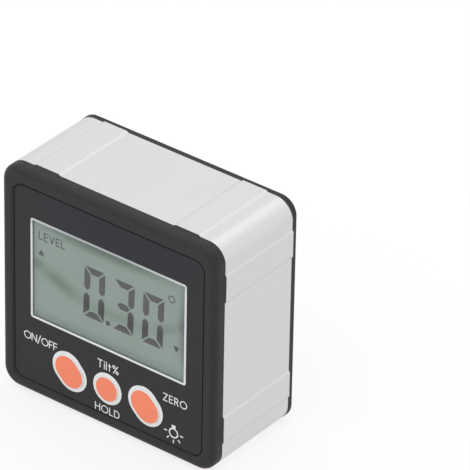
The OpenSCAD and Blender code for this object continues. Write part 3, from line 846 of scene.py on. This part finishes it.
@dataclass
class ControlPanel(SubAssembly):
    """The printed film with its keys, their white rings, the words beside them and the lamp sign."""

    finishes: dict[str, Finish] = field(
        default_factory=lambda: {
            "front_panel": PRINTED_FILM,
            "on_off_button": WHITE_RUBBER,
            "hold_button": WHITE_RUBBER,
            "zero_button": WHITE_RUBBER,
        }
    )
    slot: str = "panel_black"
    ink_mm: float = 0.02
    pen_mm: float = 0.215
    key_gap_mm: float = 0.02
    key_edge_mm: float = 0.15
    key_turn_deg: float = -45.0
    # Each key with its width and how much longer than wide it is
    keys: dict[str, Point] = field(
        default_factory=lambda: {"on_off": (6.2, 1.5), "hold": (5.7, 0.0), "zero": (6.2, 1.5)}
    )
    ring_mm: float = 0.74
    # The wider part of a long key's ring, at its upper end: the added band, its start and its sweep
    lobe_mm: float = 0.15
    lobe_deg: Point = (12.0, 83.0)
    lamp_at: Point = (16.84, 6.15)
    lamp_radius_mm: float = 1.03
    lamp_pen_mm: float = 0.3
    # Width, near end and far end of the lamp's socket and of its rays, from its middle
    socket_mm: Triple = (0.95, 1.15, 1.85)
    ray_mm: Triple = (0.26, 1.62, 2.4)
    ray_turns_deg: tuple[int, ...] = (180, 225, 270, 315, 360)
    # Each word with its lower left corner, its width and its height of capitals
    labels: dict[str, tuple[str, Point, float, float]] = field(
        default_factory=lambda: {
            "on_off_label": ("ON/OFF", (-21.5, 12.9), 8.6, 1.83),
            "tilt_label": ("Tilt%", (-2.55, 13.85), 5.4, 1.95),
            "hold_label": ("HOLD", (-3.15, 3.4), 6.3, 1.82),
            "zero_label": ("ZERO", (14.1, 12.9), 6.05, 1.83),
        }
    )

    @property
    def face_y(self) -> float:
        """Where the film's face is, in metres."""
        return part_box("front_panel")[0].y

    def print_ink(self, stencil: Stencil, name: str) -> None:
        """Prints a drawn stencil on the film in white.

        Args:
            stencil: What is drawn.
            name: The piece's name.
        """
        make_piece(stencil.stand(self.ink_mm, self.face_y), name, WHITE_INK, self.body)

    def build_key(self, key: str, width: float, stretch: float) -> None:
        """Prints the orange face on a key, and the white ring on the film round it.

        Args:
            key: The key's name.
            width: The key's width.
            stretch: How much longer than wide it is.
        """
        low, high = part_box(f"{key}_button")
        middle = (low + high) / 2 / MM
        centre = (middle.x, middle.z)
        face = width - 2 * self.key_edge_mm
        cap = Stencil()
        cap.rounded(centre, (face + stretch, face), face / 2 * NEARLY, self.key_turn_deg)
        make_piece(cap.stand(self.ink_mm, low.y), f"{key}_face", ORANGE_INK, f"{key}_key")
        hole = width / 2 + self.key_gap_mm
        ring = Stencil()
        ring.oval(centre, hole, stretch, self.ring_mm, self.key_turn_deg)
        if stretch:
            turned = Matrix.Rotation(math.radians(self.key_turn_deg), 2)
            lobe = Vector(centre) - turned @ Vector((stretch / 2, 0))
            ring.arc(lobe, hole + self.ring_mm, self.lobe_mm, *self.lobe_deg)
        self.print_ink(ring, f"{key}_ring")

    def build_lamp_sign(self) -> None:
        """Prints the sign of a lamp: a ring, its socket and five rays."""
        hub = Vector(self.lamp_at)
        stencil = Stencil()
        stencil.arc(self.lamp_at, self.lamp_radius_mm, self.lamp_pen_mm)
        width, low, high = self.socket_mm
        stencil.bar(hub + Vector((0, low)), hub + Vector((0, high)), width)
        pen, near, far = self.ray_mm
        for turn in self.ray_turns_deg:
            ray = Matrix.Rotation(math.radians(turn), 2) @ Vector((1, 0))
            stencil.bar(hub + ray * near, hub + ray * far, pen)
        self.print_ink(stencil, "lamp_sign")

    def build(self) -> None:
        """Dresses the panel and prints its keys, rings, words and lamp sign."""
        self.dress()
        for key, (width, stretch) in self.keys.items():
            self.build_key(key, width, stretch)
        for name, (text, corner, width, height) in self.labels.items():
            stencil = Stencil()
            stencil.words(text, corner, width, height, self.pen_mm)
            self.print_ink(stencil, name)
        self.build_lamp_sign()


# The bars that show each numeral: a on top, b to f from there clockwise, and g across the middle
LIT_BARS = {"0": "abcdef", "3": "abcdg"}


@dataclass
class Display(SubAssembly):
    """The clear window with its pale edge, and the crystal cell behind it with its image."""

    finishes: dict[str, Finish] = field(
        default_factory=lambda: {
            "lcd_cell": DISPLAY_GLASS,
            "display_lens": CLEAR_ACRYLIC,
            "light_guide": OPAL_ACRYLIC,
            "backlight_lamps": LAMP_RESIN,
            "elastic_connector": STRIP_SILICONE,
        }
    )
    edge_mm: float = 0.5
    ink_mm: float = 0.015
    lens_radius_mm: float = 0.6
    lens_gap_mm: float = 0.06
    crystal_mm: float = 0.02
    reading: str = "0.30"
    figure_corner: Point = (-6.51, 24.28)
    figure_mm: Point = (5.24, 11.79)
    figure_pitch_mm: float = 7.415
    figure_bar_mm: float = 1.5
    figure_gap_mm: float = 0.27
    waist_gap_mm: float = 0.26
    middle_inset_mm: float = 1.0
    slant_deg: float = 2.0
    point_at: Point = (-0.2, 24.8)
    point_mm: float = 1.0
    word_corner: Point = (-17.9, 37.45)
    word_mm: Point = (6.75, 1.9)
    word_pen_mm: float = 0.24
    arrow_mm: Point = (1.6, 1.4)
    up_arrow: Point = (-17.2, 34.5)
    down_arrow: Point = (17.0, 25.8)
    degree_at: Point = (15.74, 37.0)
    degree_radius_mm: float = 0.73
    degree_pen_mm: float = 0.25

    @property
    def crystal_y(self) -> float:
        """Where the front of the crystal cell is, in metres."""
        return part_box("lcd_cell")[0].y

    def build_lens(self) -> None:
        """Builds the clear window, which stops just short of the cell, and prints its pale edge."""
        low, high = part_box("display_lens")
        middle = (low + high) / 2 / MM
        size = ((high.x - low.x) / MM, (high.z - low.z) / MM)
        stencil = Stencil()
        stencil.rounded((middle.x, middle.z), size, self.lens_radius_mm)
        back_y = high.y - self.lens_gap_mm * MM
        pane = stencil.stand((back_y - low.y) / MM, back_y)
        lens = make_piece(pane, "clear_window", CLEAR_ACRYLIC, self.body)
        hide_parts("display_lens")
        edge = Stencil()
        edge.frame((middle.x, middle.z), size, self.lens_radius_mm, self.edge_mm)
        make_piece(edge.stand(self.ink_mm, low.y), "window_edge", GREY_INK, self.body)

    def draw_figure(self, stencil: Stencil, numeral: str, left: float) -> None:
        """Draws one numeral from its bars.

        Args:
            stencil: Where it is drawn.
            numeral: The numeral.
            left: Its left edge.
        """
        wide, high = self.figure_mm
        half = self.figure_bar_mm / 2
        gap = self.figure_gap_mm
        waist = high / 2 - self.waist_gap_mm
        bars = {
            "a": ((gap, high - half), (wide - gap, high - half), (Tip.MITRE_RIGHT, Tip.MITRE_RIGHT)),
            "b": ((wide - half, high - gap), (wide - half, high - waist), (Tip.MITRE_RIGHT, Tip.POINT)),
            "c": ((wide - half, gap), (wide - half, waist), (Tip.MITRE_LEFT, Tip.POINT)),
            "d": ((gap, half), (wide - gap, half), (Tip.MITRE_LEFT, Tip.MITRE_LEFT)),
            "e": ((half, gap), (half, waist), (Tip.MITRE_RIGHT, Tip.POINT)),
            "f": ((half, high - gap), (half, high - waist), (Tip.MITRE_LEFT, Tip.POINT)),
            "g": (
                (self.middle_inset_mm, high / 2),
                (wide - self.middle_inset_mm, high / 2),
                (Tip.POINT, Tip.POINT),
            ),
        }
        lean = math.tan(math.radians(self.slant_deg))
        for name in LIT_BARS[numeral]:
            start, end, tips = bars[name]
            spots = [(left + x + y * lean, self.figure_corner[1] + y) for x, y in (start, end)]
            stencil.bar(*spots, self.figure_bar_mm, tips=tips)

    def build_image(self) -> None:
        """Draws the reading, its word and its marks on the crystal cell."""
        figures = Stencil()
        left = self.figure_corner[0]
        for numeral in self.reading.replace(".", ""):
            self.draw_figure(figures, numeral, left)
            left += self.figure_pitch_mm
        half = self.point_mm / 2
        x, y = self.point_at
        figures.bar((x - half, y), (x + half, y), self.point_mm)
        marks = Stencil()
        marks.words("LEVEL", self.word_corner, *self.word_mm, self.word_pen_mm)
        marks.triangle(self.up_arrow, *self.arrow_mm)
        marks.triangle(self.down_arrow, *self.arrow_mm, turn=FULL_TURN / 2)
        marks.arc(self.degree_at, self.degree_radius_mm, self.degree_pen_mm)
        for name, stencil, finish in (
            ("display_figures", figures, DARK_CRYSTAL),
            ("display_marks", marks, FAINT_CRYSTAL),
        ):
            solid = stencil.stand(self.crystal_mm, self.crystal_y)
            make_piece(solid, name, finish, self.body)

    def build(self) -> None:
        """Dresses the display, then builds its window and its image."""
        self.dress()
        self.build_lens()
        self.build_image()


@dataclass
class Electronics(SubAssembly):
    """The circuit board with its switches, chips, sensor and screws."""

    finishes: dict[str, Finish] = field(
        default_factory=lambda: {
            "circuit_board": SOLDER_RESIST,
            "controller_chip": CHIP_EPOXY,
            "tilt_sensor": SENSOR_EPOXY,
            "clock_crystal": ZINC_PLATE,
            "board_screws": ZINC_PLATE,
            "on_off_switch": BLACK_NYLON,
            "hold_switch": BLACK_NYLON,
            "zero_switch": BLACK_NYLON,
            "on_off_plunger": BROWN_NYLON,
            "hold_plunger": BROWN_NYLON,
            "zero_plunger": BROWN_NYLON,
        }
    )


@dataclass
class BatteryBay(SubAssembly):
    """The two cells, their contacts and springs, and the door over them."""

    finishes: dict[str, Finish] = field(
        default_factory=lambda: {
            "battery_door": MOULDED_ABS,
            "upper_cell": NICKEL_PLATE,
            "lower_cell": NICKEL_PLATE,
            "positive_contact": NICKEL_PLATE,
            "negative_contact": NICKEL_PLATE,
            "bridge_contact": NICKEL_PLATE,
            "contact_springs": NICKEL_PLATE,
        }
    )
    sleeve_mm: float = 0.06
    band_mm: float = 9.0
    button_mm: float = 1.0
    can_edge_mm: float = 0.6
    smooth_below_deg: float = 30.0
    # Which way along x each cell's button points
    cells: dict[str, int] = field(default_factory=lambda: {"upper_cell": 1, "lower_cell": -1})

    def build_sleeve(self, cell: str, toward: int) -> None:
        """Shrinks the sleeve with its band onto the straight part of a cell's can.

        Args:
            cell: The cell's node.
            toward: Which way along x its button points.
        """
        low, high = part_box(cell)
        middle = (low + high) / 2
        radius = (high.z - low.z) / 2 / MM
        length = (high.x - low.x) / MM - self.button_mm - 2 * self.can_edge_mm
        foot = (low.x if toward > 0 else high.x) + toward * self.can_edge_mm * MM
        along = Matrix.Rotation(toward * math.pi / 2, 4, "Y")
        split = length - self.band_mm
        wraps = (("sleeve", CELL_SLEEVE, 0.0, split), ("band", CELL_BAND, split, length))
        for name, finish, start, end in wraps:
            tube = Stencil()
            tube.arc((0.0, 0.0), radius + self.sleeve_mm / 2, self.sleeve_mm)
            place = Matrix.Translation((foot + toward * start * MM, middle.y, middle.z)) @ along
            wrap = tube.solid(end - start, place)
            piece = make_piece(wrap, f"{cell}_{name}", finish, self.body)
            piece.data.shade_smooth()
            piece.data.set_sharp_from_angle(angle=math.radians(self.smooth_below_deg))

    def build(self) -> None:
        """Dresses the bay and sleeves its cells."""
        self.dress()
        for cell, toward in self.cells.items():
            self.build_sleeve(cell, toward)


@dataclass(frozen=True)
class Softbox:
    """A square soft lamp: its place and its side in metres, and its power in watts."""

    name: str
    spot: Triple
    size: float
    power: float


@dataclass
class Studio:
    """The pale floor, the soft light and the camera of the photograph, with lengths in metres."""

    eye: Triple = (0.555632, -0.699193, 0.605446)
    aim: Triple = (0.009805, 0.015375, 0.035943)
    roll_deg: float = 1.117
    lens_mm: float = 410.65
    sensor_mm: float = 36.0
    floor_half: float = 3.0
    floor_drop: float = 0.0001
    floor_colour: str = "F4F4F4"
    floor_glow: float = 0.78
    world_level: float = 0.94
    lamps: tuple[Softbox, ...] = (
        Softbox("top_softbox", (-0.1, -0.1, 0.8), 1.2, 2.2),
        Softbox("rear_softbox", (0.05, 0.75, 0.5), 0.7, 0.4),
        Softbox("right_softbox", (0.85, 0.75, 0.2), 0.4, 0.09),
    )

    def seen(self, tree: bpy.types.NodeTree) -> bpy.types.NodeSocket:
        """Adds a switch that is on for camera, glossy and transmission rays.

        Args:
            tree: The node tree.

        Returns:
            One where the background shows as white, zero where it only lights.
        """
        path = add_node(tree, "ShaderNodeLightPath")
        first = add_node(
            tree,
            "ShaderNodeMath",
            operation="MAXIMUM",
            links={0: path.outputs["Is Camera Ray"], 1: path.outputs["Is Glossy Ray"]},
        )
        both = add_node(
            tree,
            "ShaderNodeMath",
            operation="MAXIMUM",
            links={0: first.outputs[0], 1: path.outputs["Is Transmission Ray"]},
        )
        return both.outputs[0]

    def build_floor(self) -> None:
        """Lays the pale floor, which shows as white and keeps a faint shadow."""
        bm = bmesh.new()
        bmesh.ops.create_grid(bm, x_segments=1, y_segments=1, size=self.floor_half)
        bmesh.ops.translate(bm, verts=bm.verts, vec=(0, 0, -self.floor_drop))
        mesh = bpy.data.meshes.new("studio_floor")
        bm.to_mesh(mesh)
        bm.free()
        floor = bpy.data.objects.new("studio_floor", mesh)
        bpy.context.scene.collection.objects.link(floor)
        material = bpy.data.materials.new("pale studio floor")
        material.use_nodes = True
        tree = material.node_tree
        tree.nodes.clear()
        matt = add_node(tree, "ShaderNodeBsdfDiffuse", values={"Color": linear(self.floor_colour)})
        glow = add_node(tree, "ShaderNodeEmission", values={"Strength": 1.0})
        share = add_node(
            tree,
            "ShaderNodeMath",
            operation="MULTIPLY",
            values={1: self.floor_glow},
            links={0: self.seen(tree)},
        )
        mix = add_node(
            tree,
            "ShaderNodeMixShader",
            links={0: share.outputs[0], 1: matt.outputs[0], 2: glow.outputs[0]},
        )
        add_node(tree, "ShaderNodeOutputMaterial", links={"Surface": mix.outputs[0]})
        mesh.materials.append(material)

    def build_world(self) -> None:
        """Makes the even studio light, with white where it is seen."""
        world = bpy.data.worlds.new("soft studio")
        world.use_nodes = True
        tree = world.node_tree
        tree.nodes.clear()
        white = (1.0, 1.0, 1.0, 1.0)
        light = add_node(
            tree, "ShaderNodeBackground", values={"Color": white, "Strength": self.world_level}
        )
        shown = add_node(tree, "ShaderNodeBackground", values={"Color": white, "Strength": 1.0})
        mix = add_node(
            tree,
            "ShaderNodeMixShader",
            links={0: self.seen(tree), 1: light.outputs[0], 2: shown.outputs[0]},
        )
        add_node(tree, "ShaderNodeOutputWorld", links={"Surface": mix.outputs[0]})
        bpy.context.scene.world = world

    def build_lamp(self, softbox: Softbox) -> None:
        """Hangs one lamp that looks at the gauge.

        Args:
            softbox: The lamp.
        """
        light = bpy.data.lights.new(softbox.name, "AREA")
        light.energy = softbox.power
        light.size = softbox.size
        lamp = bpy.data.objects.new(softbox.name, light)
        lamp.location = softbox.spot
        look = Vector(self.aim) - Vector(softbox.spot)
        lamp.rotation_euler = look.to_track_quat("-Z", "Y").to_euler()
        bpy.context.scene.collection.objects.link(lamp)

    def build_camera(self) -> None:
        """Sets the camera at the photograph's place."""
        data = bpy.data.cameras.new("photo_camera")
        data.lens = self.lens_mm
        data.sensor_width = self.sensor_mm
        camera = bpy.data.objects.new("photo_camera", data)
        camera.location = self.eye
        camera.rotation_mode = "QUATERNION"
        look = (Vector(self.aim) - Vector(self.eye)).to_track_quat("-Z", "Y")
        camera.rotation_quaternion = look @ Quaternion((0, 0, 1), math.radians(self.roll_deg))
        bpy.context.scene.collection.objects.link(camera)
        bpy.context.scene.camera = camera

    def build(self) -> None:
        """Builds the floor, the light and the camera."""
        self.build_floor()
        self.build_world()
        for softbox in self.lamps:
            self.build_lamp(softbox)
        self.build_camera()
        bpy.context.scene.view_settings.view_transform = "Standard"


def main() -> None:
    """Builds each sub-assembly, then the studio."""
    logging.basicConfig(level=logging.INFO, format="%(message)s")
    for part in (Housing(), ControlPanel(), Display(), Electronics(), BatteryBay(), Studio()):
        part.build()


if __name__ == "__main__":
    main()
